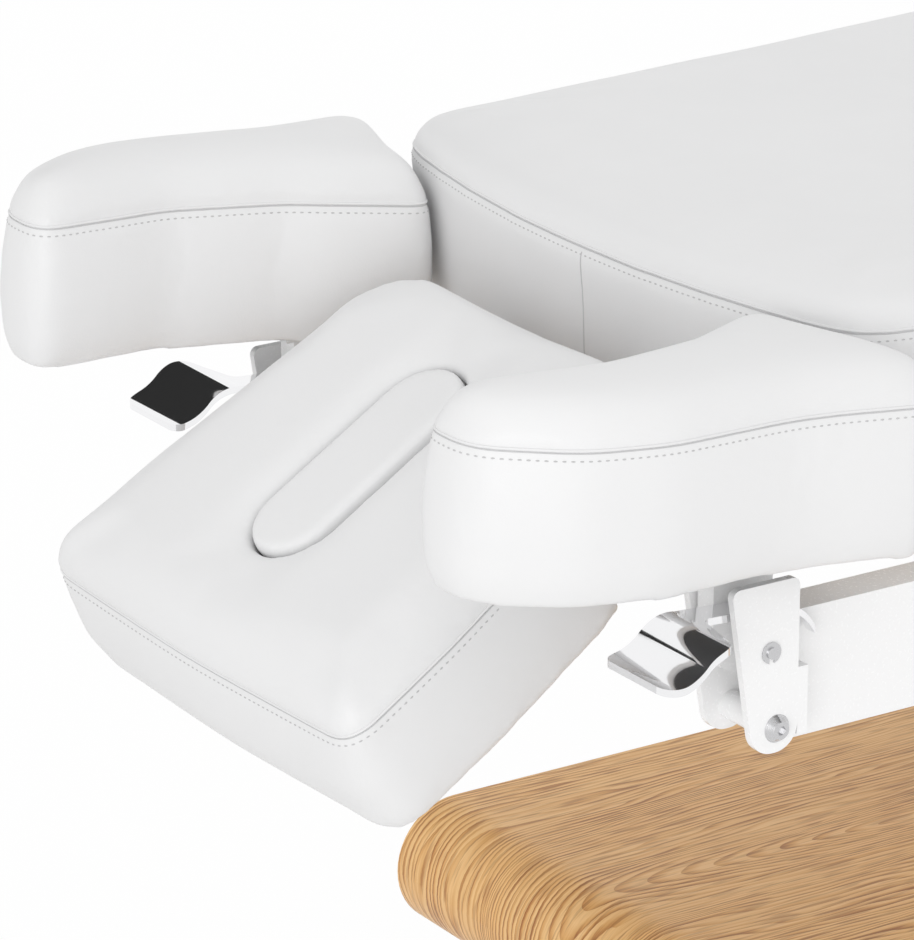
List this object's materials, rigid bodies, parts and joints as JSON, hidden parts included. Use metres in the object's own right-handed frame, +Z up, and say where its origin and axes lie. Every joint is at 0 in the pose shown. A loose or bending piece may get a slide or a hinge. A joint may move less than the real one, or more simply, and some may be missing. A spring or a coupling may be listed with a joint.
{
  "type": "facial bed",
  "caption": "Padded facial bed with a tilting headrest and face opening, folding armrests, tilting back and leg sections, lifting columns and a round-ended oak base.",
  "frame": {"origin": "on the floor under the middle of the bed", "axes": "+X across the bed towards the lying person's right, +Y from the head end to the foot end, +Z up"},
  "size_m": [0.7256, 1.8857, 0.72],
  "materials": {
    "oak_veneer": "satin",
    "plywood": "matte",
    "upholstery": "satin",
    "white_paint": "gloss",
    "bare_steel": "satin",
    "chrome": "polished",
    "black_plastic": "matte",
    "white_plastic": "satin",
    "rubber": "matte"
  },
  "bodies": {
    "base": {"base_shell": "oak_veneer", "base_sides": "oak_veneer", "base_plate": "bare_steel", "foot_pads": "rubber", "foot_stems": "bare_steel", "power_inlet": "black_plastic", "column_outer_tubes": "white_paint"},
    "column_middle": {"column_middle_tubes": "white_paint"},
    "chassis": {"column_inner_tubes": "white_paint", "lift_motors": "black_plastic", "column_top_plates": "white_paint", "chassis_rails": "white_paint", "chassis_cross_tubes": "white_paint", "seat_beams": "white_paint", "seat_risers": "white_paint", "seat_board": "plywood", "seat_cushion": "upholstery", "control_box": "black_plastic", "back_hinge_cheeks": "white_paint", "leg_hinge_cheeks": "white_paint", "hinge_caps": "white_plastic", "back_actuator": "black_plastic", "leg_actuator": "black_plastic"},
    "back": {"back_cushion": "upholstery", "back_board": "plywood", "back_beams": "white_paint", "back_risers": "white_paint", "back_hinge_arms": "white_paint", "back_hinge_pins": "bare_steel", "back_crank": "white_paint", "headrest_brackets": "white_paint", "headrest_rod": "bare_steel", "headrest_washers": "bare_steel", "bracket_plates": "white_paint", "bracket_end_plates": "white_paint", "armrest_pins": "bare_steel", "pin_clips": "bare_steel", "bracket_screws": "bare_steel", "bracket_spacers": "bare_steel", "bracket_nuts": "bare_steel"},
    "back_rod": {"back_actuator_rod": "bare_steel"},
    "leg": {"leg_cushion": "upholstery", "leg_board": "plywood", "leg_rails": "white_paint", "leg_hinge_arms": "white_paint", "leg_hinge_pins": "bare_steel", "leg_crank": "white_paint"},
    "leg_rod": {"leg_actuator_rod": "bare_steel"},
    "headrest": {"headrest_cushion": "upholstery", "headrest_board": "plywood", "headrest_arms": "white_paint"},
    "face_plug": {"face_plug": "upholstery"},
    "armrest_right": {"armrest_cushion_right": "upholstery", "armrest_board_right": "plywood", "armrest_lug_right": "white_paint"},
    "armrest_left": {"armrest_cushion_left": "upholstery", "armrest_board_left": "plywood", "armrest_lug_left": "white_paint"},
    "lever_right": {"armrest_lever_right": "chrome"},
    "lever_left": {"armrest_lever_left": "chrome"}
  },
  "joints": [
    {"name": "lift", "type": "slide", "parent": "base", "child": "chassis", "axis": [0, 0, 1], "range_m": [0, 0.25]},
    {"name": "column_middle_slide", "type": "slide", "parent": "base", "child": "column_middle", "axis": [0, 0, 1], "range_m": [0, 0.125]},
    {"name": "back_tilt", "type": "hinge", "parent": "chassis", "child": "back", "pos_m": [0, 0.04, 0.64], "axis": [-1, 0, 0], "range_deg": [0, 65]},
    {"name": "back_rod_slide", "type": "slide", "parent": "chassis", "child": "back_rod", "axis": [0, -1, 0], "range_m": [0, 0.14016]},
    {"name": "leg_tilt", "type": "hinge", "parent": "chassis", "child": "leg", "pos_m": [0, 0.48, 0.64], "axis": [-1, 0, 0], "range_deg": [0, 60]},
    {"name": "leg_rod_slide", "type": "slide", "parent": "chassis", "child": "leg_rod", "axis": [0, -1, 0], "range_m": [0, 0.12702]},
    {"name": "headrest_tilt", "type": "hinge", "parent": "back", "child": "headrest", "pos_m": [0, -0.658, 0.62], "axis": [-1, 0, 0], "range_deg": [-12, 36]},
    {"name": "face_plug_lift", "type": "slide", "parent": "headrest", "child": "face_plug", "axis": [0, -0.5299, 0.848], "range_m": [0, 0.12]},
    {"name": "armrest_right_tilt", "type": "hinge", "parent": "back", "child": "armrest_right", "pos_m": [0.275, -0.6728, 0.496], "axis": [1, 0, 0], "range_deg": [0, 40]},
    {"name": "lever_right_press", "type": "hinge", "parent": "armrest_right", "child": "lever_right", "pos_m": [0.275, -0.68, 0.515], "axis": [-1, 0, 0], "range_deg": [0, 12], "stiffness_Nm_per_rad": 0.6, "springref_deg": -8.59},
    {"name": "armrest_left_tilt", "type": "hinge", "parent": "back", "child": "armrest_left", "pos_m": [-0.275, -0.6728, 0.496], "axis": [1, 0, 0], "range_deg": [0, 40]},
    {"name": "lever_left_press", "type": "hinge", "parent": "armrest_left", "child": "lever_left", "pos_m": [-0.275, -0.68, 0.515], "axis": [-1, 0, 0], "range_deg": [0, 12], "stiffness_Nm_per_rad": 0.6, "springref_deg": -8.59}
  ],
  "couplings": [
    {"joint": "column_middle_slide", "follows": "lift", "ratio": 0.5},
    {"joint": "back_rod_slide", "follows": "back_tilt", "m_per_rad": 0.12354},
    {"joint": "leg_rod_slide", "follows": "leg_tilt", "m_per_rad": 0.12129}
  ]
}
